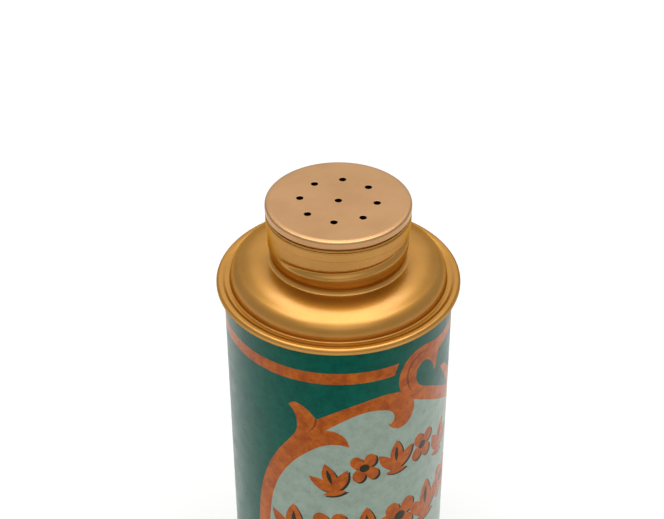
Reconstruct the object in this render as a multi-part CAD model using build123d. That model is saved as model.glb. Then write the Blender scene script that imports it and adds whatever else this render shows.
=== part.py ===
"""Talcum powder tin: a lithographed tinplate can with a domed gold shoulder and a push-in sifter.

Units are millimetres. +Z is up and the origin is the centre of the resting face.
The front of the label faces -Y, and the can's side seam runs down the back, at +Y.
Every pressed part is thin sheet, drawn as the middle line of its wall and then thickened.
"""

import os
from math import cos, radians, sin

from build123d import *

# ---- driving dimensions -------------------------------------------------------------------
BODY_DIAMETER = 50.0          # outside of the can's wall
HEIGHT = 130.0                # resting face to the top of the sifter plate
TINPLATE = 0.25               # can, shoulder, base and collar
COPPER = 0.30                 # sifter plate
RUNNING_GAP = 0.05            # sifter sleeve in the neck bore, on the radius

SEAM_RADIUS = 26.62           # outside of both crimped rims
SEAM_HEIGHT = 1.59            # outer face of a rim to the end of its hook
SEAM_BEND = 0.6               # bends of a rim's sheet, on its middle line
HOOK_RADIUS = 25.4            # inner end of a rim's hook
FLANGE_RADIUS = 26.1          # outer end of the can's flange, inside the rim
FLANGE_LEVEL = 1.165          # can's flange, from the rim's outer face
FLANGE_FOLD_LEVEL = 0.705     # the flange's edge, folded back
FLANGE_FOLD_RADIUS = 25.45    # where the folded edge ends
FLANGE_BEND = 0.4
FLANGE_FOLD_BEND = 0.2
TOP_SEAM_DEPTH = 19.155       # top of the sifter plate down to the top rim's outer face
BASE_RECESS = 3.2             # base panel above the resting face
BASE_BEAD_RADIUS = 21.6       # where the base panel steps down
BASE_BEAD_DEPTH = 0.7
COMPOUND_RADIUS = 25.7        # middle of the sealing compound's section
COMPOUND_WIDTH = 0.5
COMPOUND_LEVELS = (0.26, 0.57)

NECK_RADIUS = 14.375          # outside of the neck below its thread
LAND_RADIUS = 15.175          # outside of the neck where the thread is rolled in
LIP_RADIUS = 15.525           # outside of the hem round the neck's mouth
DOME_RADIUS = 23.6            # outside of the dome at its foot

LIP_DEPTH = 2.9               # top of the sifter plate down to the neck's mouth
LIP_HEIGHT = 2.15             # hem turned down over the neck
LAND_DEPTH = 9.9              # lower end of the threaded land's straight wall
LAND_BELLY = (0.2, 1.5)       # then it curves in: across and down to the middle of the curve,
LAND_SLOPE = 3.0              # and down to where it meets the neck
CROWN_DEPTH = 14.075          # top of the dome's crown
CROWN_RADIUS = 18.6           # where the dome begins to fall
CROWN_FALL = 2.4              # crown down to where the dome turns vertical
DOME_FOOT_DEPTH = 19.5        # foot of the dome
GUTTER = (24.7, 19.5)         # radius and depth of the groove between dome and rim
RIM_RISE_RADIUS = 25.35       # where the groove has risen to the rim's crest

THREAD_PITCH = 4.3
THREAD_ROOT_RADIUS = 14.4     # outside of the sheet at the bottom of the groove
THREAD_TOOL_RADIUS = 1.1      # section of the rolled groove
THREAD_FRONT_ANGLE = 236.0    # where the groove's depth below is true, degrees from +X
THREAD_FRONT_DEPTH = 8.65
THREAD_START = 178.0
THREAD_END = 453.0
THREAD_RUN_OUT = 30.0         # degrees over which the groove fades at each end
THREAD_STEPS = 44             # points along the thread's path

SIFTER_RADIUS = 15.59
SIFTER_SKIRT = 1.9            # depth of the copper plate's turned-down edge
SIFTER_FLAT_RADIUS = 14.6     # the plate is flat within this radius
SIFTER_DROOP = 0.16           # and falls by this much at its edge
SIFTER_CRIMP_RADIUS = 15.16   # inner end of the edge crimped under the collar's bead
SLEEVE_DEPTH = 11.7           # lower end of the sleeve in the neck
SLEEVE_TAPER = (0.2, 0.9)     # lead-in at the sleeve's lower end, across and up
COLLAR_RADIUS = 14.85         # middle of the collar's wall above the flange
COLLAR_FLANGE_RADIUS = 15.28  # middle of the hem that rests on the neck's mouth
COLLAR_HEM = 0.32             # between the two layers of that hem
COLLAR_BEAD = (15.0, 1.2)     # radius and depth of the bead that the plate is crimped on
COLLAR_BEAD_HALF = 0.35
HOLE_DIAMETER = 1.5
HOLE_CIRCLE_DIAMETER = 16.4
HOLES_ON_CIRCLE = 8
HOLE_PHASE = 4.6              # first hole on the circle, degrees from +X

SIDE_SEAM_WIDTH = 3.2
SIDE_SEAM_GROOVE = 0.3
SIDE_SEAM_MARGIN = 4.6        # end of the folded seam to the rim's hook

HALF = TINPLATE / 2
BODY_RADIUS = BODY_DIAMETER / 2
TOP_SEAM_Z = HEIGHT - TOP_SEAM_DEPTH


def pressed(middle_line, thickness=TINPLATE):
    """Revolve a sheet whose middle line is given as (radius, height)."""
    outline = make_face(offset(middle_line, amount=thickness / 2, side=Side.BOTH))
    off_axis = Pos(BODY_DIAMETER, HEIGHT / 2) * Rectangle(2 * BODY_DIAMETER, 2 * HEIGHT)
    section = Plane.XZ * (outline & off_axis)
    return revolve(section, Axis.Z)


def below_top(points):
    """Turn (radius, depth below the sifter plate) into (radius, height)."""
    return [(radius, HEIGHT - depth) for radius, depth in points]


def seam_level(rim_z, inwards, distance):
    """Height of a layer of a crimped seam, measured from the rim's outer face."""
    return rim_z + inwards * distance


def rim_points(rim_z, inwards):
    """Middle line of the curl that grips the can's flange, from its crest to its hook."""
    edge = SEAM_RADIUS - HALF
    crest = seam_level(rim_z, inwards, HALF)
    hook = seam_level(rim_z, inwards, SEAM_HEIGHT - HALF)
    return [(edge, crest), (edge, hook), (HOOK_RADIUS, hook)]


def flange_points(rim_z, inwards):
    """Middle line of the can's own flange, folded back once inside the curl."""
    wall = BODY_RADIUS - HALF
    flange = seam_level(rim_z, inwards, FLANGE_LEVEL)
    fold = seam_level(rim_z, inwards, FLANGE_FOLD_LEVEL)
    return [(wall, flange), (FLANGE_RADIUS, flange), (FLANGE_RADIUS, fold), (FLANGE_FOLD_RADIUS, fold)]


def body_shell():
    """Wall with a flange at each end and the lock seam folded inwards at the back."""
    upper = flange_points(TOP_SEAM_Z, -1)
    lower = flange_points(0, 1)
    bends = [FLANGE_FOLD_BEND, FLANGE_FOLD_BEND, FLANGE_BEND]
    radii = [*bends, *reversed(bends)]
    wall = pressed(FilletPolyline(*reversed(lower), *upper, radius=radii))
    seam_bottom = SEAM_HEIGHT + SIDE_SEAM_MARGIN
    seam_top = TOP_SEAM_Z - SEAM_HEIGHT - SIDE_SEAM_MARGIN
    length = seam_top - seam_bottom
    middle = (seam_top + seam_bottom) / 2
    band = Box(SIDE_SEAM_WIDTH, BODY_DIAMETER, length)
    layers = Cylinder(BODY_RADIUS - HALF, length) - Cylinder(BODY_RADIUS - 3 * TINPLATE, length)
    folded = layers & (Pos(0, BODY_RADIUS, 0) * band)
    slot = Pos(SIDE_SEAM_WIDTH / 2, BODY_RADIUS, 0) * Box(SIDE_SEAM_GROOVE, TINPLATE, length)
    return wall - (Pos(0, 0, middle) * slot) + (Pos(0, 0, middle) * folded)


def shoulder_line():
    """Middle line of the shoulder: neck hem, threaded land, neck, dome and the curled rim."""
    lip = LIP_RADIUS - HALF
    land = LAND_RADIUS - HALF
    neck = NECK_RADIUS - HALF
    foot = DOME_RADIUS - HALF
    mouth = LIP_DEPTH + HALF
    crown = CROWN_DEPTH + HALF
    belly_in, belly_down = LAND_BELLY
    upper = below_top([
        (lip, LIP_DEPTH + LIP_HEIGHT - HALF),
        (lip, mouth),
        (land, mouth),
        (land, LAND_DEPTH),
        (land - belly_in, LAND_DEPTH + belly_down),
        (neck, LAND_DEPTH + LAND_SLOPE),
        (neck, crown),
        (CROWN_RADIUS, crown + 0.05),
        (foot, crown + CROWN_FALL),
        (foot, DOME_FOOT_DEPTH),
        GUTTER,
        (RIM_RISE_RADIUS, TOP_SEAM_DEPTH + HALF),
    ])
    hem, land_bends, dome, gutter = [0.17, 0.17], [5.0, 4.0, 0.5], [1.0, 10.0, 3.2], [0.4, 0.4, 0.4]
    radii = [*hem, *land_bends, *dome, *gutter, SEAM_BEND, SEAM_BEND]
    return FilletPolyline(*upper, *rim_points(TOP_SEAM_Z, -1), radius=radii)


def thread_path():
    """Right-hand helix through the middle of the rolled groove, leaving the neck at both ends."""
    centre_radius = THREAD_ROOT_RADIUS + THREAD_TOOL_RADIUS
    clear_radius = LAND_RADIUS + THREAD_TOOL_RADIUS + 0.1
    points = []
    for step in range(THREAD_STEPS + 1):
        angle = THREAD_START + (THREAD_END - THREAD_START) * step / THREAD_STEPS
        to_end = min(angle - THREAD_START, THREAD_END - angle)
        fade = max(0.0, 1 - to_end / THREAD_RUN_OUT) ** 2
        radius = centre_radius + (clear_radius - centre_radius) * fade
        turns = (angle - THREAD_FRONT_ANGLE) / 360
        height = HEIGHT - THREAD_FRONT_DEPTH + THREAD_PITCH * turns
        points.append((radius * cos(radians(angle)), radius * sin(radians(angle)), height))
    return Spline(*points)


def thread_tool(path, radius):
    """Round bar that follows the thread."""
    start = Plane(origin=path @ 0, z_dir=path % 0)
    return sweep(start * Circle(radius), path=path)


def shoulder_neck():
    """Drawn shoulder with the cap thread rolled into its neck."""
    sheet = pressed(shoulder_line())
    path = thread_path()
    groove = thread_tool(path, THREAD_TOOL_RADIUS)
    land_bottom = HEIGHT - LAND_DEPTH - 0.3
    land_top = HEIGHT - LIP_DEPTH - LIP_HEIGHT
    land = Cylinder(LAND_RADIUS, land_top - land_bottom, align=(Align.CENTER, Align.CENTER, Align.MIN))
    backing = thread_tool(path, THREAD_TOOL_RADIUS + TINPLATE) & (Pos(0, 0, land_bottom) * land)
    return (sheet - groove) + (backing - groove)


def base_end():
    """Pressed base: recessed panel with one bead, and a curled rim with a flat resting face."""
    wall = BODY_RADIUS - TINPLATE - RUNNING_GAP - HALF
    panel = BASE_RECESS + HALF
    line = [
        (0, panel - BASE_BEAD_DEPTH),
        (BASE_BEAD_RADIUS - 1.0, panel - BASE_BEAD_DEPTH),
        (BASE_BEAD_RADIUS, panel),
        (wall, panel),
        (wall, HALF),
    ]
    panel_bends = [0.6, 0.6, 0.6]
    radii = [*panel_bends, 0.35, SEAM_BEND, SEAM_BEND]
    return pressed(FilletPolyline(*line, *rim_points(0, 1), radius=radii))


def seam_compound(rim_z, inwards):
    """Ring of sealing compound between the curl and the can's folded flange."""
    low, high = (seam_level(rim_z, inwards, level) for level in COMPOUND_LEVELS)
    ring = Pos(COMPOUND_RADIUS, (low + high) / 2) * Rectangle(COMPOUND_WIDTH, abs(high - low))
    return revolve(Plane.XZ * ring, Axis.Z)


def sifter_plate():
    """Copper plate with punched holes, its edge drooping, turned down and crimped under."""
    middle = COPPER / 2
    edge = SIFTER_RADIUS - middle
    line = below_top([
        (0, middle),
        (SIFTER_FLAT_RADIUS, middle),
        (edge, middle + SIFTER_DROOP),
        (edge, SIFTER_SKIRT - middle),
        (SIFTER_CRIMP_RADIUS, SIFTER_SKIRT - middle),
    ])
    plate = pressed(FilletPolyline(*line, radius=[1.5, 0.4, 0.16]), COPPER)
    punch = Cylinder(HOLE_DIAMETER / 2, 4 * COPPER)
    circle = PolarLocations(HOLE_CIRCLE_DIAMETER / 2, HOLES_ON_CIRCLE, start_angle=HOLE_PHASE)
    for place in [*circle, Location()]:
        plate -= Pos(0, 0, HEIGHT - middle) * place * punch
    return plate


def sifter_collar():
    """Sleeve that grips the neck's bore, with a hemmed flange and a bead that the plate is crimped on."""
    sleeve = NECK_RADIUS - TINPLATE - RUNNING_GAP - HALF
    flange = LIP_DEPTH - 0.015 - HALF
    fold = flange - COLLAR_HEM
    taper, lead_in = SLEEVE_TAPER
    bead_radius, bead = COLLAR_BEAD
    line = below_top([
        (sleeve - taper, SLEEVE_DEPTH - HALF),
        (sleeve, SLEEVE_DEPTH - lead_in),
        (sleeve, flange),
        (COLLAR_FLANGE_RADIUS, flange),
        (COLLAR_FLANGE_RADIUS, fold),
        (COLLAR_RADIUS, fold),
        (COLLAR_RADIUS, bead + COLLAR_BEAD_HALF),
        (bead_radius, bead),
        (COLLAR_RADIUS, bead - COLLAR_BEAD_HALF),
        (COLLAR_RADIUS, COPPER + SIFTER_DROOP + HALF),
    ])
    hem, bends = [0.155, 0.155], [0.2, 0.2, 0.2, 0.2]
    return pressed(FilletPolyline(*line, radius=[0.3, 0.3, *hem, *bends]))


def main():
    """Build every sub-part and write one STEP file for each."""
    os.makedirs("parts", exist_ok=True)
    nodes = {
        "body_shell": body_shell(),
        "shoulder_neck": shoulder_neck(),
        "base_end": base_end(),
        "top_seam_compound": seam_compound(TOP_SEAM_Z, -1),
        "base_seam_compound": seam_compound(0, 1),
        "sifter_plate": sifter_plate(),
        "sifter_collar": sifter_collar(),
    }
    for name, shape in nodes.items():
        export_step(shape, f"parts/{name}.step")
        print(f"{name}: {shape.volume:.1f} mm3, {len(shape.solids())} solid(s)")


main()
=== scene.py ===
"""Looks of the talcum powder tin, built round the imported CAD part.

The scene is in metres, +Z is up, and the middle of the front label faces -Y. What is drawn here is in
millimetres. A section of a pressed part is the middle line of its sheet, as (radius, height). The
label's artwork is laid out flat, as (distance round the can from the front, height above the base).
"""

from math import acos, ceil, cos, pi, radians, sin, tan

import bmesh
import bpy
import numpy as np
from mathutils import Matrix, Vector
from mathutils.geometry import delaunay_2d_cdt


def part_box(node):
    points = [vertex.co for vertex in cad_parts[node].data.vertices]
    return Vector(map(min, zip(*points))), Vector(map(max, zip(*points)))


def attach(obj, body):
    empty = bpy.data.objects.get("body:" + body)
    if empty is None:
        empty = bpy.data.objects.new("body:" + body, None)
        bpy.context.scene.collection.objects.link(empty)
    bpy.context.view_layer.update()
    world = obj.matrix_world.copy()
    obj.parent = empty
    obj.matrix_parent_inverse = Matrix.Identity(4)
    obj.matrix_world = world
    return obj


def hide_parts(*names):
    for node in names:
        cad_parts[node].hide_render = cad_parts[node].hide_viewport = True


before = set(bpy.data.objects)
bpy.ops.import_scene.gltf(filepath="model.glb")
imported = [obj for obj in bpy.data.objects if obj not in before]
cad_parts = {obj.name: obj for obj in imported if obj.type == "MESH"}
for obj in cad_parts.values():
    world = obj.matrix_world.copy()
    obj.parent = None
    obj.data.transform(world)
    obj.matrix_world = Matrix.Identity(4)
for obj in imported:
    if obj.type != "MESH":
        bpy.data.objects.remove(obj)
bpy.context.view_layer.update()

MM = 0.001
WELD = 1e-7                       # metres, between vertices that are one
TINY = 1e-6                       # millimetres, between places that are one


def reach(node):
    """Outer radius of a round CAD node, in millimetres."""
    low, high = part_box(node)
    return min(-low[0], -low[1], high[0], high[1]) / MM


# ---- sizes, in millimetres, with angles in degrees -----------------------------------------
TINPLATE = 0.25
COPPER = 0.30
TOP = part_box("sifter_plate")[1][2] / MM
SIFTER_RADIUS = reach("sifter_plate")

RIM_RADIUS = reach("base_end")
RIM_HEIGHT = 1.59
RIM_HOOK_RADIUS = 25.4
RIM_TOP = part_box("shoulder_neck")[0][2] / MM + RIM_HEIGHT

CAN_RADIUS = 25.0
GIRTH = 2 * pi * CAN_RADIUS
BACK = GIRTH / 2                  # the back of the can, as a distance round it from the front
FLANGE_RADIUS, FLANGE_LEVEL = 26.1, 1.165
FOLD_RADIUS, FOLD_LEVEL = 25.45, 0.705
SIDE_SEAM = BACK - 1.6
SIDE_SEAM_HALF_WIDTH = 0.26
SIDE_SEAM_GROOVE = 0.12
SIDE_SEAM_END = 6.2               # the folded seam stops this far from each rim
BARE_STRIP = (BACK - 3.2, 1.5 - BACK)

# Depths are below the top of the sifter. The thread's angles go anticlockwise from +X, and its front is
# the side that the camera sees.
LIP_DEPTH = 2.9
THREAD_START, THREAD_END, THREAD_RUN_OUT = 178.0, 453.0, 34.0
THREAD_FRONT_ANGLE, THREAD_FRONT_DEPTH, THREAD_PITCH = 236.0, 8.65, 4.3
THREAD_SINK, THREAD_HALF_WIDTH = 0.78, 1.15
THREAD_TOP_DEPTH, THREAD_BOTTOM_DEPTH, THREAD_REACH = 5.1, 10.6, 15.3

DISC_RADIUS = 12.8
HOLE_RADIUS = 0.75
HOLE_CIRCLE = 8.2
HOLES_ROUND = 8
HOLE_PHASE = radians(4.6)

# How finely the meshes are divided.
COLUMNS = 240
HOLE_SIDES = 40
CAP_POINTS = 5
WALL_ROWS = 14
SHORT_RUN, END_GAP = 0.3, 0.05
LONGEST_CHORD = 0.6


# ---- outlines and meshes --------------------------------------------------------------------
def straight(start, end, step):
    """Points after start up to end, with one close to each end so that bends stay crisp."""
    gap = np.linalg.norm(end - start)
    if gap < TINY:
        return []
    if gap < SHORT_RUN:
        return [end]
    close = END_GAP / gap
    inner = np.linspace(close, 1 - close, max(2, ceil(gap / step)))
    return [start + (end - start) * t for t in (*inner, 1.0)]


def rounded_line(points, radii, step=0.5, arc_step=9.0):
    """Run of straight lines with rounded corners, as rows of a point and its direction."""
    points = [np.array(p, float) for p in points]
    rows = [np.array([*points[0], *unit(points[1] - points[0])])]
    for before, corner, after, radius in zip(points, points[1:], points[2:], radii):
        into, out = unit(corner - before), unit(after - corner)
        turn = acos(max(-1.0, min(1.0, float(into @ out))))
        side = 1 if into[0] * out[1] - into[1] * out[0] > 0 else -1
        start = corner - into * radius * tan(turn / 2)
        rows += [np.array([*p, *into]) for p in straight(rows[-1][:2], start, step)]
        inwards = side * np.array([-into[1], into[0]])
        count = max(2, ceil(turn / radians(arc_step)), ceil(radius * turn / LONGEST_CHORD))
        for k in range(1, count + 1):
            a = turn * k / count
            along = into * cos(a) + inwards * sin(a)
            place = start + radius * (into * sin(a) + inwards * (1 - cos(a)))
            rows.append(np.array([*place, *along]))
    out = unit(points[-1] - points[-2])
    rows += [np.array([*p, *out]) for p in straight(rows[-1][:2], points[-1], step)]
    return np.array(rows)


def unit(vector):
    return vector / np.linalg.norm(vector)


def thickened(line, thickness=TINPLATE):
    """Closed outline round a middle line, with half-round ends except where it meets the axis."""
    points, along = line[:, :2], line[:, 2:]
    across = np.stack([-along[:, 1], along[:, 0]], axis=1) * thickness / 2

    def cap(end, outwards, side):
        if end[0] < TINY:
            return []
        angles = np.linspace(0, pi, CAP_POINTS + 2)[1:-1]
        return [end + side * cos(a) + outwards * thickness / 2 * sin(a) for a in angles]

    far = cap(points[-1], along[-1], across[-1])
    near = cap(points[0], -along[0], -across[0])
    return np.array([*(points + across), *far, *(points - across)[::-1], *near])


def even_angles(count):
    return [2 * pi * k / count for k in range(count)]


def turned(outline, angles, closed=True, warp=None):
    """Vertices and faces of an outline of (radius, height) turned through the given angles."""
    rows, count = len(outline), len(angles)
    verts = []
    for radius, height in outline:
        for angle in angles:
            r = warp(radius, height, angle) if warp else radius
            verts.append((r * cos(angle) * MM, r * sin(angle) * MM, height * MM))
    faces = []
    for i in range(rows if closed else rows - 1):
        after = (i + 1) % rows
        if max(outline[i][0], outline[after][0]) < TINY:
            continue
        faces += strip(i * count, after * count, count)
    return verts, faces


def strip(first, second, count):
    """Quads between two closed rows of vertices."""
    pairs = [(j, (j + 1) % count) for j in range(count)]
    return [(first + j, first + k, second + k, second + j) for j, k in pairs]


def new_piece(name, verts, faces, materials, slots=None):
    """One welded, closed, smooth mesh object."""
    mesh = bpy.data.meshes.new(name)
    mesh.from_pydata(verts, [], faces)
    for material in materials:
        mesh.materials.append(material)
    if slots is not None:
        mesh.polygons.foreach_set("material_index", slots)
    work = bmesh.new()
    work.from_mesh(mesh)
    bmesh.ops.remove_doubles(work, verts=work.verts, dist=WELD)
    bmesh.ops.recalc_face_normals(work, faces=work.faces)
    work.to_mesh(mesh)
    work.free()
    mesh.shade_smooth()
    piece = bpy.data.objects.new(name, mesh)
    bpy.context.collection.objects.link(piece)
    return piece


def set_normals(piece, rule):
    """Shade a piece by what rule makes of its vertices, in millimetres, and their own normals."""
    vertices = piece.data.vertices
    places, normals = np.empty(3 * len(vertices)), np.empty(3 * len(vertices))
    vertices.foreach_get("co", places)
    vertices.foreach_get("normal", normals)
    new_normals = rule(places.reshape(-1, 3) / MM, normals.reshape(-1, 3))
    piece.data.normals_split_custom_set_from_vertices(new_normals)


def finish_piece(piece, body, node):
    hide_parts(node)
    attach(piece, body)


def below_top(points):
    return [(radius, TOP - depth) for radius, depth in points]


def circle(radius, count=COLUMNS, centre=(0.0, 0.0)):
    x, y = centre
    return np.array([(x + radius * cos(a), y + radius * sin(a)) for a in even_angles(count)])


# ---- materials ----------------------------------------------------------------------------
WHITE = (1, 1, 1, 1)


class Shader:
    """A material and short ways to add nodes to it."""

    def __init__(self, name):
        self.material = bpy.data.materials.new(name)
        self.material.use_nodes = True
        self.tree = self.material.node_tree
        self.surface = self.tree.nodes["Principled BSDF"]
        self.place = self.add("ShaderNodeTexCoord").outputs["Object"]

    def add(self, kind, values=None, **settings):
        node = self.tree.nodes.new(kind)
        for key, value in settings.items():
            setattr(node, key, value)
        for key, value in (values or {}).items():
            self.feed(node.inputs[key], value)
        return node

    def feed(self, socket, value):
        if isinstance(value, bpy.types.NodeSocket):
            self.tree.links.new(value, socket)
        else:
            socket.default_value = value

    def noise(self, scale, detail=3.0, roughness=0.55):
        values = {"Vector": self.place, "Scale": scale, "Detail": detail, "Roughness": roughness}
        return self.add("ShaderNodeTexNoise", values).outputs["Fac"]

    def ramp(self, value, low, high, to_low=0.0, to_high=1.0):
        values = {"Value": value, "From Min": low, "From Max": high, "To Min": to_low, "To Max": to_high}
        return self.add("ShaderNodeMapRange", values, clamp=True).outputs["Result"]

    def mix(self, factor, a, b):
        node = self.add("ShaderNodeMix", data_type="RGBA")
        for key, value in ((0, factor), (6, a), (7, b)):
            self.feed(node.inputs[key], value)
        return node.outputs[2]

    def facing(self):
        """0 where the surface is seen square on, 1 where it is seen edge on."""
        return self.add("ShaderNodeLayerWeight").outputs["Facing"]

    def bump(self, height, strength, distance):
        values = {"Height": height, "Strength": strength, "Distance": distance}
        return self.add("ShaderNodeBump", values).outputs["Normal"]

    def finish(self, **values):
        for key, value in values.items():
            self.feed(self.surface.inputs[key.replace("_", " ")], value)
        return self.material


def colour(red, green, blue):
    """Linear colour from the 0 to 255 values seen on a screen."""
    def linear(value):
        value /= 255
        return value / 12.92 if value <= 0.04045 else ((value + 0.055) / 1.055) ** 2.4
    return (linear(red), linear(green), linear(blue), 1.0)


def gold_lacquer():
    """Clear gold lacquer over tinplate: satin metal under a soft coat that fades at a low angle."""
    s = Shader("gold_lacquer")
    cloud = s.noise(110.0, 4.0)
    grain = s.noise(1800.0, 2.0)
    tint = s.mix(s.ramp(cloud, 0.35, 0.65), (0.52, 0.242, 0.028, 1), (0.46, 0.210, 0.020, 1))
    return s.finish(
        Base_Color=tint, Metallic=1.0, Roughness=s.ramp(grain, 0.3, 0.7, 0.36, 0.42),
        Specular_Tint=(0.80, 0.60, 0.35, 1), Coat_Weight=s.ramp(s.facing(), 0.3, 0.8, 1.0, 0.0),
        Coat_Roughness=0.24, Normal=s.bump(grain, 0.05, 0.00005),
    )


def copper():
    """Satin copper sheet with faint clouds of tarnish."""
    s = Shader("copper")
    cloud = s.noise(75.0, 5.0, 0.6)
    grain = s.noise(2400.0, 2.0)
    tint = s.mix(s.ramp(cloud, 0.38, 0.68), (0.56, 0.32, 0.15, 1), (0.49, 0.27, 0.12, 1))
    return s.finish(
        Base_Color=tint, Metallic=1.0, Roughness=s.ramp(grain, 0.3, 0.7, 0.32, 0.40),
        Normal=s.bump(grain, 0.08, 0.00005),
    )


def ink(name, light, dark):
    """Litho ink under varnish: mottled, a little worn, and glossy only at a low angle."""
    s = Shader(name)
    mottle = s.mix(s.ramp(s.noise(420.0, 5.0, 0.7), 0.37, 0.63), light, dark)
    stain = s.ramp(s.noise(95.0, 6.0, 0.62), 0.60, 0.76, 0.0, 0.3)
    stained = s.mix(stain, mottle, colour(92, 66, 40))
    freckle = s.ramp(s.noise(1100.0, 3.0), 0.65, 0.74, 0.0, 0.28)
    return s.finish(
        Base_Color=s.mix(freckle, stained, colour(62, 48, 32)),
        Roughness=s.ramp(s.noise(300.0, 3.0), 0.3, 0.7, 0.26, 0.36),
        Specular_IOR_Level=s.ramp(s.facing(), 0.20, 0.74, 0.0, 0.36),
    )


def compound():
    """Dark rubbery sealing compound."""
    s = Shader("sealing_compound")
    roughness = s.ramp(s.noise(900.0), 0.3, 0.7, 0.6, 0.8)
    return s.finish(Base_Color=(0.09, 0.08, 0.07, 1), Roughness=roughness)


def pale_floor():
    """Nearly white paper with a slight glow, as the photo's background is."""
    s = Shader("pale_floor")
    tint = s.mix(s.ramp(s.noise(20.0), 0.3, 0.7), (0.80, 0.80, 0.79, 1), (0.82, 0.82, 0.81, 1))
    return s.finish(Base_Color=tint, Roughness=0.7, Emission_Color=WHITE, Emission_Strength=0.07)


def can_materials(gold):
    """The can's materials, in the order of the numbers GREEN to UMBER."""
    return [
        ink("green_ink", colour(12, 91, 76), colour(7, 76, 64)),
        ink("orange_ink", colour(190, 101, 34), colour(154, 72, 26)),
        ink("mint_ink", colour(155, 172, 158), colour(141, 157, 144)),
        ink("shadow_ink", colour(58, 50, 34), colour(44, 42, 30)),
        gold,
        ink("umber_ink", colour(136, 70, 30), colour(112, 54, 24)),
    ]


# ---- label artwork --------------------------------------------------------------------------
GREEN, ORANGE, MINT, SHADOW, BARE, UMBER = range(6)
DROP = np.array([0.5, -0.45])     # offset of a drop shadow
BAND_LEVELS = (100.4, 103.35)
BAND_GAP = (-2.5, -1.5, 12.5)     # the band's slanted left end, and where it goes on
LOW_BAND_LEVELS = (5.0, 8.0)
UPPER_ROW, UPPER_SPACING, UPPER_ARCH, UPPER_LEAN = (-1.4, 76.8), 7.65, 0.0162, 0.0165
LOWER_ROW, LOWER_SPACING, LOWER_SCALE = (0.0, 57.6), 8.4, 1.28
MEDALLION = (0, 33)

# Outer edge of the scroll frame, clockwise from the tip of the left leaf.
LEAF_TOP = [(-25.8, 93.3), (-24.5, 94.2), (-22.9, 93.8), (-21.2, 92.4), (-19.6, 90.3)]
SCROLL_TOP = [(-19.6, 90.3), (-16.0, 92.4), (-12.0, 94.2), (-7.5, 95.5), (-4.0, 95.8), (-0.8, 95.3)]
CROOK_OUTSIDE = [(-0.8, 95.3), (-1.3, 97.3), (-1.2, 99.6), (-0.3, 101.9), (1.2, 103.7), (3.3, 104.7),
                 (5.8, 104.8), (8.8, 104.1), (12.5, 103.35)]
HOOK_OUTSIDE = [(12.5, 100.4), (11.2, 100.0), (10.8, 98.5), (10.4, 96.9), (9.6, 95.3)]
CROOK_INSIDE = [(9.6, 95.3), (9.0, 97.3), (7.9, 99.1), (6.4, 100.3), (4.9, 100.3), (3.7, 99.2), (3.3, 97.4),
                (3.8, 95.4), (5.4, 93.6), (9.0, 91.2), (13.5, 88.0), (16.6, 85.6), (19.4, 83.0)]
RIGHT_LEAF_INSIDE = [(19.4, 83.0), (18.2, 85.8), (16.4, 88.2), (14.8, 90.6), (13.5, 92.6), (12.3, 94.3)]
RIGHT_OUTSIDE = [(12.3, 94.3), (14.3, 93.9), (16.2, 92.2), (19.2, 89.0), (22.4, 84.8), (25.8, 80.0),
                 (29.2, 74.6), (32.2, 68.0), (34.2, 61.5), (35.2, 54.0), (35.4, 45.0)]
LOWER_OUTSIDE = [(35.4, 45.0), (35.2, 36.0), (33.6, 26.5), (29.6, 18.8), (22.8, 13.4), (12.5, 10.7),
                 (0.0, 10.0)]
LEFT_OUTSIDE = [(-35.4, 45.0), (-35.2, 54.0), (-34.3, 62.5), (-33.0, 68.2), (-31.0, 74.0), (-28.4, 79.2),
                (-25.8, 83.2), (-24.2, 86.0), (-23.9, 88.6), (-24.4, 91.2), (-25.8, 93.3)]

# Edge of the pale panel inside the frame, clockwise from the crook's foot.
SLOPE_INSIDE = [(2.9, 91.2), (7.5, 88.2), (11.8, 85.2), (16.5, 82.0), (21.0, 78.2), (25.2, 73.4),
                (28.6, 67.8), (30.8, 61.5), (31.8, 54.0), (32.1, 45.0)]
LOWER_INSIDE = [(32.1, 45.0), (31.8, 36.5), (30.3, 28.4), (26.8, 21.7), (20.6, 16.8), (11.5, 14.2),
                (0.0, 13.5)]
LEFT_INSIDE = [(-32.1, 45.0), (-31.8, 54.0), (-30.9, 62.5), (-29.5, 68.0), (-27.6, 72.5), (-25.0, 76.7),
               (-22.2, 79.9), (-19.4, 82.2), (-16.8, 83.3), (-14.2, 83.2), (-12.4, 82.4)]
INNER_LEAF_TOP = [(-12.4, 82.4), (-13.0, 84.5), (-14.0, 86.0), (-15.6, 87.1), (-17.5, 87.5)]
SCROLL_INSIDE = [(-17.5, 87.5), (-14.6, 89.6), (-11.5, 91.3), (-8.3, 92.1), (-5.6, 91.8), (-3.5, 91.0),
                 (-2.4, 89.6), (-2.3, 88.2), (-2.9, 87.2), (-3.7, 87.0)]
SCROLL_END = [(-3.7, 87.0), (-2.6, 85.7), (-0.9, 84.9), (1.0, 85.4), (2.4, 87.0), (3.0, 89.2), (2.9, 91.2)]

# Strokes as (across, up, width).
CROOK_CREASE = [(7.5, 102.9, 0.1), (4.2, 103.0, 0.35), (1.9, 101.6, 0.45), (0.9, 99.0, 0.45),
                (1.2, 96.2, 0.4), (2.4, 93.4, 0.1)]
LEAF_CREASE = [(-19.6, 90.3, 0.5), (-20.0, 88.4, 0.4), (-21.3, 86.4, 0.1)]
SPRIG_STEM = [(15.5, 24.0, 0.5), (19.5, 28.5, 0.8), (22.6, 34.0, 0.8), (23.6, 40.5, 0.5)]


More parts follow.
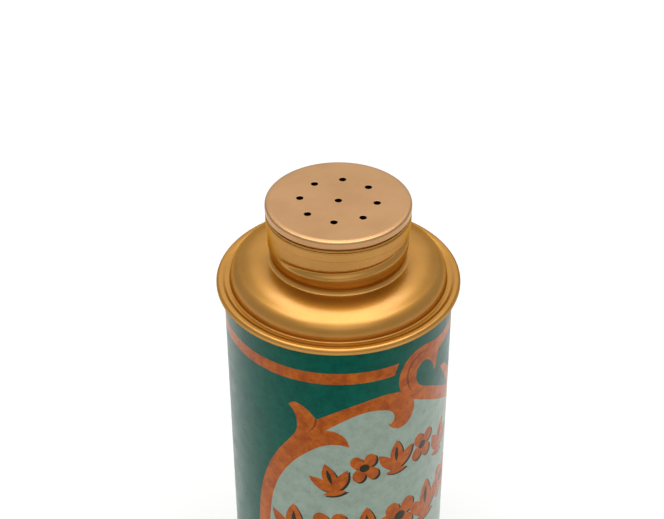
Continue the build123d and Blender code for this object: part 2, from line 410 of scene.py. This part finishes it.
def curve(controls, per_span=7):
    """Smooth run through the control points, whatever they hold."""
    c = np.array(controls, float)
    c = np.vstack([2 * c[0] - c[1], c, 2 * c[-1] - c[-2]])
    run = []
    for a, b, d, e in zip(c, c[1:], c[2:], c[3:]):
        slope, bend, twist = d - a, 2 * a - 5 * b + 4 * d - e, 3 * (b - d) + e - a
        for t in np.arange(per_span) / per_span:
            run.append(b + 0.5 * t * (slope + t * (bend + t * twist)))
    return np.array(run + [c[-2]])


def joined(*runs):
    """Closed outline of smooth runs that meet at corners."""
    return np.vstack([curve(run) for run in runs])


def mirrored(points):
    """The same points on the other side of the label's middle, in the opposite order."""
    return [(-x, *rest) for x, *rest in points][::-1]


def stroke(controls):
    """Outline of a line through (across, up, width) controls."""
    run = curve(controls)
    spine, half = run[:, :2], run[:, 2:] / 2
    along = np.gradient(spine, axis=0)
    along /= np.linalg.norm(along, axis=1)[:, None]
    side = np.stack([-along[:, 1], along[:, 0]], axis=1) * half
    return np.vstack([spine + side, (spine - side)[::-1]])


def moved(shape, x, y, turn=0.0, scale=1.0):
    c, s = cos(turn) * scale, sin(turn) * scale
    return shape @ np.array([[c, s], [-s, c]]) + (x, y)


def pointed_oval(width, height):
    """Petal standing on its lower point at the origin."""
    rise = np.linspace(0, 1, 15)
    half = 2 * width * rise * (1 - rise)
    up = np.stack([half, rise * height], axis=1)
    down = np.stack([-half, rise * height], axis=1)[::-1]
    return np.vstack([up[:-1], down[:-1]])


def petals(count, inner, outer):
    """Flower outline with rounded petals."""
    angles = np.linspace(0, 2 * pi, count * 12, endpoint=False)
    r = inner + (outer - inner) * np.abs(np.sin(angles * count / 2)) ** 0.7
    return np.stack([r * np.cos(angles), r * np.sin(angles)], axis=1)


def box(left, right, low, high):
    return np.array([(left, low), (right, low), (right, high), (left, high)])


def bud():
    """Generic motif: three petals on a short bar, with a vein in the middle one."""
    solid = [moved(pointed_oval(2.7, 7.2), 0, -4.0, turn) for turn in (0.66, -0.66)]
    solid += [moved(pointed_oval(3.2, 8.8), 0, -4.0), moved(pointed_oval(1.5, 5.6), 2.8, -4.3, pi / 2)]
    return solid, [moved(pointed_oval(0.9, 4.6), 0, -1.6)]


def flower():
    """Generic motif: a four-petalled flower with a hollow centre."""
    return [petals(4, 1.5, 4.4) * (0.84, 1.08)], [circle(1.15, 20)]


def ornament(x, y, turn, scale, motif):
    """Motif with a drop shadow, in the place of a letter of the original label."""
    solid, hollow = [[moved(shape, x, y, turn, scale) for shape in shapes] for shapes in motif()]
    layers = [(SHADOW, shape + DROP) for shape in solid]
    layers += [(ORANGE, shape) for shape in solid]
    return layers + [(SHADOW, shape) for shape in hollow]


def ornament_rows():
    """An arched row of five motifs, and a straight row of seven larger ones under it."""
    layers = []
    middle, level = UPPER_ROW
    for k in range(-2, 3):
        across = UPPER_SPACING * k
        height = level - UPPER_ARCH * across ** 2
        layers += ornament(across + middle, height, -UPPER_LEAN * across, 1.0, flower if k % 2 else bud)
    middle, level = LOWER_ROW
    for k in range(-3, 4):
        layers += ornament(middle + LOWER_SPACING * k, level, 0.0, LOWER_SCALE, bud if k % 2 else flower)
    return layers


def medallion(x, y):
    """Daisy in a ring."""
    ring = circle(12.4, 72, (x, y))
    layers = [(SHADOW, ring + DROP), (ORANGE, ring), (GREEN, circle(10.9, 72, (x, y)))]
    layers.append((MINT, moved(petals(11, 3.4, 9.4), x, y)))
    layers.append((SHADOW, circle(2.9, 32, (x, y)) + DROP / 2))
    layers.append((ORANGE, circle(2.7, 32, (x, y))))
    return layers


def sprig(side):
    """Leafy sprig beside the medallion; side is 1 for the right and -1 for the left."""
    shapes = [(GREEN, stroke(SPRIG_STEM))]
    run = curve(SPRIG_STEM)
    for k, place in enumerate(range(3, len(run), 4)):
        for lean in (0.65, -1.15):
            leaf = moved(pointed_oval(2.1, 5.0), run[place][0], run[place][1], lean, 1 - 0.05 * k)
            shapes.append((GREEN, leaf))
    shapes.append((ORANGE, moved(petals(5, 1.0, 1.9), 23.7, 42.4)))
    return [(which, shape * (side, 1)) for which, shape in shapes]


def artwork():
    """The whole label as (ink, outline) layers, first printed first."""
    low, high = BAND_LEVELS
    end_low, end_high, next_start = BAND_GAP
    left_band = [(-BACK, low), (end_low, low), (end_high, high), (-BACK, high)]
    layers = [(ORANGE, np.array(left_band)), (ORANGE, box(next_start, BACK, low, high))]
    layers.append((ORANGE, box(-BACK, BACK, *LOW_BAND_LEVELS)))
    layers.append((ORANGE, joined(
        LEAF_TOP, SCROLL_TOP, CROOK_OUTSIDE, HOOK_OUTSIDE, CROOK_INSIDE, RIGHT_LEAF_INSIDE, RIGHT_OUTSIDE,
        LOWER_OUTSIDE, mirrored(LOWER_OUTSIDE), LEFT_OUTSIDE,
    )))
    layers.append((MINT, joined(
        SLOPE_INSIDE, LOWER_INSIDE, mirrored(LOWER_INSIDE), LEFT_INSIDE, INNER_LEAF_TOP, SCROLL_INSIDE,
        SCROLL_END,
    )))
    layers += [(UMBER, stroke(crease)) for crease in (CROOK_CREASE, LEAF_CREASE)]
    layers += ornament_rows() + medallion(*MEDALLION) + sprig(1) + sprig(-1)
    left, right = BARE_STRIP
    return layers + [(BARE, box(left, BACK, 0, RIM_TOP)), (BARE, box(-BACK, right, 0, RIM_TOP))]


# ---- printed can ------------------------------------------------------------------------------
def inside(points, shape):
    """Which points lie within a closed outline, by winding number."""
    turns = np.zeros(len(points), int)
    x, y = points[:, 0], points[:, 1]
    for (ax, ay), (bx, by) in zip(shape, np.roll(shape, -1, axis=0)):
        left = (bx - ax) * (y - ay) - (x - ax) * (by - ay)
        turns += ((ay <= y) & (by > y) & (left > 0)).astype(int)
        turns -= ((ay > y) & (by <= y) & (left < 0)).astype(int)
    return turns != 0


def wall_columns():
    """Distances round the can where its mesh has a column, closer together at the folded seam."""
    half = SIDE_SEAM_HALF_WIDTH
    fixed = [*BARE_STRIP, *(SIDE_SEAM + d for d in (-half, -0.14, 0.0, 0.14, half))]
    even = [GIRTH * (k / COLUMNS - 0.5) for k in range(COLUMNS)]
    return sorted([s for s in even if min(abs(s - f) for f in fixed) > 0.1] + fixed)


def printed_wall(low, high, columns):
    """Flat wall between two heights, divided along the edges of the artwork."""
    points, edges = [], []

    def add_line(shape, closed):
        first, count = len(points), len(shape)
        points.extend(Vector(map(float, p)) for p in shape)
        edges.extend((first + k, first + (k + 1) % count) for k in range(count if closed else count - 1))

    for s in (*columns, BACK):
        add_line([(s, low), (s, high)], False)
    for h in np.linspace(low, high, WALL_ROWS):
        add_line([(-BACK, h), (BACK, h)], False)
    layers = artwork()
    for _, shape in layers:
        add_line(np.clip(shape, (-BACK, low), (BACK, high)), True)
    flat, _, triangles, *_ = delaunay_2d_cdt(points, edges, [], 0, 1e-4)
    flat = np.array([tuple(p) for p in flat])
    triangles = np.array(triangles)
    middles = flat[triangles].mean(axis=1)
    inks = np.full(len(triangles), GREEN)
    for which, shape in layers:
        inks[inside(middles, shape)] = which
    return flat, triangles, inks


def can_radius(s, h, radius):
    """Radius of the wall, with the folded seam's groove outside and its layers inside."""
    fade = min(1.0, max(0.0, min(h - SIDE_SEAM_END, RIM_TOP - SIDE_SEAM_END - h)))
    if radius > CAN_RADIUS - 0.01:
        across = abs(s - SIDE_SEAM) / SIDE_SEAM_HALF_WIDTH
        return radius - SIDE_SEAM_GROOVE * fade * max(0.0, 1 - across) ** 0.5
    if abs(radius - CAN_RADIUS + TINPLATE) < 0.01 and abs(s) > SIDE_SEAM:
        return radius - 2 * TINPLATE * fade
    return radius


def make_can(materials):
    """Printed can: its outer wall with the artwork, then both folded flanges and the plain inside."""
    wall = CAN_RADIUS - TINPLATE / 2
    half = [(wall, FLANGE_LEVEL), (FLANGE_RADIUS, FLANGE_LEVEL), (FLANGE_RADIUS, FOLD_LEVEL)]
    half.append((FOLD_RADIUS, FOLD_LEVEL))
    line = half[::-1] + [(r, RIM_TOP - h) for r, h in half]
    outline = thickened(rounded_line(line, [0.2, 0.2, 0.4, 0.4, 0.2, 0.2], 6.0, 15.0))
    on_wall = np.where(np.abs(outline[:, 0] - CAN_RADIUS) < TINY)[0]
    low, high = outline[on_wall, 1].min(), outline[on_wall, 1].max()
    top = on_wall[np.argmax(outline[on_wall, 1])]
    ring = np.roll(outline, -top, axis=0)
    if low < ring[1][1] < high:
        ring = np.roll(ring[::-1], 1, axis=0)
    bottom = np.argmin(np.hypot(ring[:, 0] - CAN_RADIUS, ring[:, 1] - low))
    columns = wall_columns()
    flat, triangles, slots = printed_wall(low, high, columns)
    angles = flat[:, 0] / CAN_RADIUS - pi / 2
    radii = np.array([can_radius(s, h, CAN_RADIUS) for s, h in flat])
    verts = np.stack([radii * np.cos(angles), radii * np.sin(angles), flat[:, 1]], axis=1) * MM

    def warp(radius, height, angle):
        return can_radius((angle + pi / 2) * CAN_RADIUS, height, radius)

    inner, quads = turned(ring[:bottom + 1], [s / CAN_RADIUS - pi / 2 for s in columns], False, warp)
    faces = [tuple(t) for t in triangles] + [tuple(len(verts) + i for i in quad) for quad in quads]
    slots = [*slots, *[BARE] * len(quads)]
    piece = new_piece("printed_can", [*map(tuple, verts), *inner], faces, materials, slots)

    def rule(places, normals):
        """The printed wall is shaded as a true cylinder, apart from its side seam."""
        x, y, height = places.T
        radius = np.hypot(x, y)
        around = ((np.arctan2(y, x) + pi / 2 + pi) % (2 * pi) - pi) * CAN_RADIUS
        smooth = (np.abs(radius - CAN_RADIUS) < 0.001) & (np.abs(around - SIDE_SEAM) > 0.3)
        smooth &= (height > low - 0.001) & (height < high + 0.001)
        outwards = np.stack([x / radius, y / radius, 0 * radius], axis=1)
        return np.where(smooth[:, None], outwards, normals)

    set_normals(piece, rule)
    finish_piece(piece, "tin", "body_shell")


# ---- pressed metal parts ------------------------------------------------------------------
def rim_points(rim_z, inwards):
    """Middle line of a crimped rim, from its crest to the end of its hook."""
    edge = RIM_RADIUS - TINPLATE / 2
    crest = rim_z + inwards * TINPLATE / 2
    hook = rim_z + inwards * (RIM_HEIGHT - TINPLATE / 2)
    return [(edge, crest), (edge, hook), (RIM_HOOK_RADIUS, hook)]


def thread_depth(height, angle):
    """How far the rolled groove of the cap thread pushes the neck inwards."""
    deepest = 0.0
    for turn in (0, 360):
        at = angle * 180 / pi + turn
        run_out = min(at - THREAD_START, THREAD_END - at) / THREAD_RUN_OUT
        middle = TOP - THREAD_FRONT_DEPTH + THREAD_PITCH * (at - THREAD_FRONT_ANGLE) / 360
        across = abs(height - middle) / THREAD_HALF_WIDTH
        if run_out > 0 and across < 1:
            fade = min(1.0, run_out)
            deepest = max(deepest, fade ** 2 * (3 - 2 * fade) * (cos(pi * across) + 1) / 2)
    return THREAD_SINK * deepest


def neck_warp(radius, height, angle):
    """Roll the thread into the neck's wall and leave its hem as it is."""
    if THREAD_TOP_DEPTH < TOP - height < THREAD_BOTTOM_DEPTH and radius < THREAD_REACH:
        return radius - thread_depth(height, angle)
    return radius


def make_shoulder(gold):
    """Dome, neck with its rolled cap thread, hem at the mouth, and the curled rim."""
    lip, rim_crest = LIP_DEPTH + TINPLATE / 2, TOP - RIM_TOP + TINPLATE / 2
    line = below_top([
        (15.4, 4.925), (15.4, lip), (15.05, lip), (15.05, 9.9), (14.85, 11.4), (14.25, 12.9),
        (14.25, 14.2), (18.6, 14.25), (23.475, 16.6), (23.475, 19.5), (24.7, 19.5), (25.35, rim_crest),
    ])
    radii = [0.17, 0.17, 5.0, 4.0, 0.5, 1.0, 10.0, 3.2, 0.4, 0.4, 0.4, 0.6, 0.6]
    outline = thickened(rounded_line(line + rim_points(RIM_TOP, -1), radii, 0.25, 9.0))
    verts, faces = turned(outline, even_angles(COLUMNS), warp=neck_warp)
    piece = new_piece("gold_shoulder", verts, faces, [gold])
    finish_piece(piece, "tin", "shoulder_neck")


def make_base(gold):
    """Recessed base panel with one bead and a curled rim."""
    panel, bead, wall = 2.625, 3.325, 24.575
    line = [(0, panel), (20.6, panel), (21.6, bead), (wall, bead), (wall, TINPLATE / 2)]
    radii = [0.6, 0.6, 0.6, 0.35, 0.6, 0.6]
    outline = thickened(rounded_line(line + rim_points(0, 1), radii, 1.5, 9.0))
    verts, faces = turned(outline, even_angles(COLUMNS))
    piece = new_piece("gold_base", verts, faces, [gold])
    finish_piece(piece, "tin", "base_end")


def make_collar(gold):
    """Sleeve of the sifter with its hemmed flange and the bead that holds the copper plate."""
    flange, hem = LIP_DEPTH - 0.14, LIP_DEPTH - 0.46
    sleeve, seat, bead = 13.95, 14.85, 15.0
    line = below_top([
        (13.75, 11.575), (sleeve, 10.8), (sleeve, flange), (15.28, flange), (15.28, hem),
        (seat, hem), (seat, 1.55), (bead, 1.2), (seat, 0.85), (seat, 0.585),
    ])
    radii = [0.3, 0.3, 0.155, 0.155, 0.2, 0.2, 0.2, 0.2]
    outline = thickened(rounded_line(line, radii, 1.0, 12.0))
    verts, faces = turned(outline, even_angles(COLUMNS))
    piece = new_piece("sifter_sleeve", verts, faces, [gold])
    finish_piece(piece, "sifter", "sifter_collar")


def make_sifter_plate(metal):
    """Copper plate: flat punched disc, drooping edge, and a skirt crimped under."""
    half, droop, crimp = COPPER / 2, 0.16, 1.75
    edge = SIFTER_RADIUS - half
    line = below_top([
        (DISC_RADIUS, half), (14.6, half), (edge, half + droop), (edge, crimp), (15.16, crimp),
    ])
    outline = thickened(rounded_line(line, [1.5, 0.4, 0.16], 0.6, 9.0), COPPER)
    verts, faces = turned(outline[:-CAP_POINTS], even_angles(COLUMNS), closed=False)
    holes = [(0.0, 0.0), *moved(circle(HOLE_CIRCLE, HOLES_ROUND), 0, 0, HOLE_PHASE)]
    punch = [(0.84, 0.0), (0.79, 0.015), (0.76, 0.05), (HOLE_RADIUS, 0.1), (HOLE_RADIUS, COPPER)]
    add_punched_disc(verts, faces, TOP, holes, punch[0][0])
    add_punched_disc(verts, faces, TOP - COPPER, holes, HOLE_RADIUS)
    for hole in holes:
        first = len(verts)
        for radius, depth in punch:
            verts += [(x * MM, y * MM, (TOP - depth) * MM) for x, y in circle(radius, HOLE_SIDES, hole)]
        for i in range(len(punch) - 1):
            faces += strip(first + i * HOLE_SIDES, first + (i + 1) * HOLE_SIDES, HOLE_SIDES)
    piece = new_piece("copper_sifter", verts, faces, [metal])

    def rule(places, normals):
        """Both faces of the disc are shaded flat."""
        flat = np.hypot(places[:, 0], places[:, 1]) < DISC_RADIUS + 0.1
        up = flat & (np.abs(places[:, 2] - TOP) < 0.001)
        down = flat & (np.abs(places[:, 2] - TOP + COPPER) < 0.001)
        return np.where(up[:, None], (0, 0, 1), np.where(down[:, None], (0, 0, -1), normals))

    set_normals(piece, rule)
    finish_piece(piece, "sifter", "sifter_plate")


def add_punched_disc(verts, faces, height, holes, hole_radius):
    """Flat disc with round holes."""
    points, edges = [], []
    for loop in [circle(DISC_RADIUS)] + [circle(hole_radius, HOLE_SIDES, hole) for hole in holes]:
        first, count = len(points), len(loop)
        points += [Vector(map(float, p)) for p in loop]
        edges += [(first + k, first + (k + 1) % count) for k in range(count)]
    flat, _, triangles, *_ = delaunay_2d_cdt(points, edges, [], 0, 1e-6)
    first = len(verts)
    verts += [(p.x * MM, p.y * MM, height * MM) for p in flat]
    clear = hole_radius * cos(pi / HOLE_SIDES) ** 2     # no triangle of the disc has its middle so near
    for triangle in triangles:
        middle = sum((flat[i] for i in triangle), Vector((0, 0))) / 3
        if all((middle - Vector(hole)).length > clear for hole in holes):
            faces.append(tuple(first + i for i in triangle))


def coat_compounds():
    """The sealing rings keep their CAD shape and get their own material."""
    material = compound()
    for node in ("top_seam_compound", "base_seam_compound"):
        for slot in bpy.data.objects[node].material_slots:
            slot.material = material


# ---- stage --------------------------------------------------------------------------------
VIEW_AZIMUTH, VIEW_ELEVATION, VIEW_PITCH = radians(-34.0), radians(33.54), radians(35.87)
VIEW_DISTANCE = 19.679 * SIFTER_RADIUS * MM
BEHIND = Vector((-sin(VIEW_AZIMUTH), cos(VIEW_AZIMUTH), 0))    # level, away from the camera
FLOOR_REACH = 3.0


def make_floor():
    a = FLOOR_REACH
    corners = [(-a, -a, 0), (a, -a, 0), (a, a, 0), (-a, a, 0)]
    mesh = bpy.data.meshes.new("floor")
    mesh.from_pydata(corners, [], [(0, 1, 2, 3)])
    mesh.materials.append(pale_floor())
    floor = bpy.data.objects.new("floor", mesh)
    bpy.context.collection.objects.link(floor)


def make_light(name, place, width, depth, radiance):
    """Soft panel of the given radiance, facing the tin."""
    lamp = bpy.data.lights.new(name, "AREA")
    lamp.shape = "RECTANGLE"
    lamp.size, lamp.size_y = width, depth
    lamp.energy = radiance * pi * width * depth
    holder = bpy.data.objects.new(name, lamp)
    holder.location = place
    target = Vector((0, 0, TOP * MM))
    holder.rotation_euler = (target - holder.location).to_track_quat("-Z", "Y").to_euler()
    bpy.context.collection.objects.link(holder)


def make_world(strength):
    world = bpy.data.worlds.new("studio")
    world.use_nodes = True
    background = world.node_tree.nodes["Background"]
    background.inputs["Color"].default_value = WHITE
    background.inputs["Strength"].default_value = strength
    bpy.context.scene.world = world


def make_camera():
    """Camera at the photo's angle, above the tin and to the left of its label."""
    data = bpy.data.cameras.new("camera")
    data.lens = 78.95
    data.sensor_width = 36.0
    data.shift_x = -0.0096
    camera = bpy.data.objects.new("camera", data)
    height = TOP * MM + VIEW_DISTANCE * sin(VIEW_ELEVATION)
    camera.location = -BEHIND * VIEW_DISTANCE * cos(VIEW_ELEVATION) + Vector((0, 0, height))
    camera.rotation_euler = (pi / 2 - VIEW_PITCH, 0, VIEW_AZIMUTH)
    bpy.context.collection.objects.link(camera)
    bpy.context.scene.camera = camera


def main():
    gold = gold_lacquer()
    make_can(can_materials(gold))
    make_shoulder(gold)
    make_base(gold)
    make_collar(gold)
    make_sifter_plate(copper())
    coat_compounds()
    make_floor()
    make_world(strength=0.54)
    make_light("overhead", BEHIND * 0.22 + Vector((0, 0, 1.25)), width=1.25, depth=0.9, radiance=3.05)
    make_light("backdrop", BEHIND * 1.07 + Vector((0, 0, 0.88)), width=1.3, depth=1.3, radiance=0.34)
    make_light("front", BEHIND * -0.60 + Vector((0, 0, 1.25)), width=1.1, depth=1.1, radiance=0.72)
    make_camera()
    bpy.context.scene.view_settings.view_transform = "Standard"


main()
